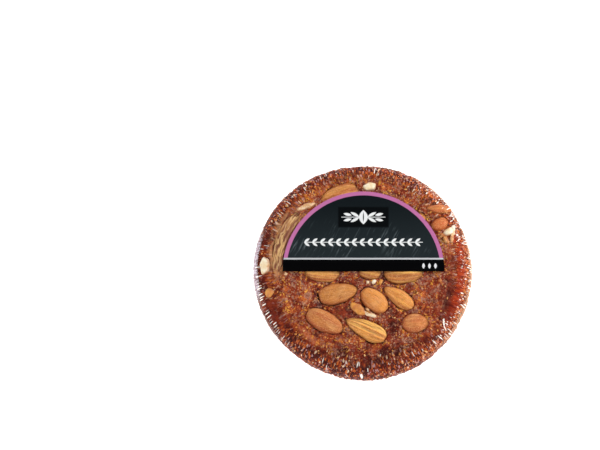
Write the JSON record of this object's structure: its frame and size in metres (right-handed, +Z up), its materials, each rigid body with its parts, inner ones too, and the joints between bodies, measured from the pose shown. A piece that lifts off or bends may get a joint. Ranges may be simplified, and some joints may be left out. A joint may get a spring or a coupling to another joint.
{
  "type": "pressed fruit bread",
  "caption": "Low round fruit bread of pressed fig paste with whole almonds in its top, tightly shrink-wrapped in clear film with a half-round label.",
  "frame": {"origin": "middle of the flat base, on the surface that the bread lies on", "axes": "+Z up through the bread, from base to top; +Y towards the round side of the label; +X to the right with the label's round side away from the viewer"},
  "size_m": [0.1003, 0.0998, 0.0232],
  "materials": {
    "fig_paste": "sticky craggy red-brown fig paste with pale seeds, under tight glossy clear film",
    "fig_flesh": "fibrous tan dried fig flesh with pale and dark streaks",
    "almond_skin": "satin orange-brown skin with fine furrows along the nut",
    "blanched_almond": "smooth ivory nut flesh",
    "label_paper": "semi-gloss printed paper: slate field, mauve border, silver line and black band"
  },
  "bodies": {
    "root": {"fig_bread": "fig_paste", "almond_01": "almond_skin", "almond_02": "almond_skin", "almond_03": "almond_skin", "almond_04": "almond_skin", "almond_05": "almond_skin", "almond_06": "almond_skin", "almond_07": "almond_skin", "almond_08": "almond_skin", "almond_09": "almond_skin", "almond_10": "almond_skin", "almond_11": "almond_skin", "almond_12": "almond_skin", "almond_13": "almond_skin", "nut_piece_1": "blanched_almond", "nut_piece_2": "blanched_almond", "nut_piece_3": "blanched_almond", "nut_piece_4": "blanched_almond", "nut_piece_5": "blanched_almond", "nut_piece_6": "blanched_almond", "fig_flesh": "fig_flesh", "label": "label_paper"}
  },
  "joints": []
}
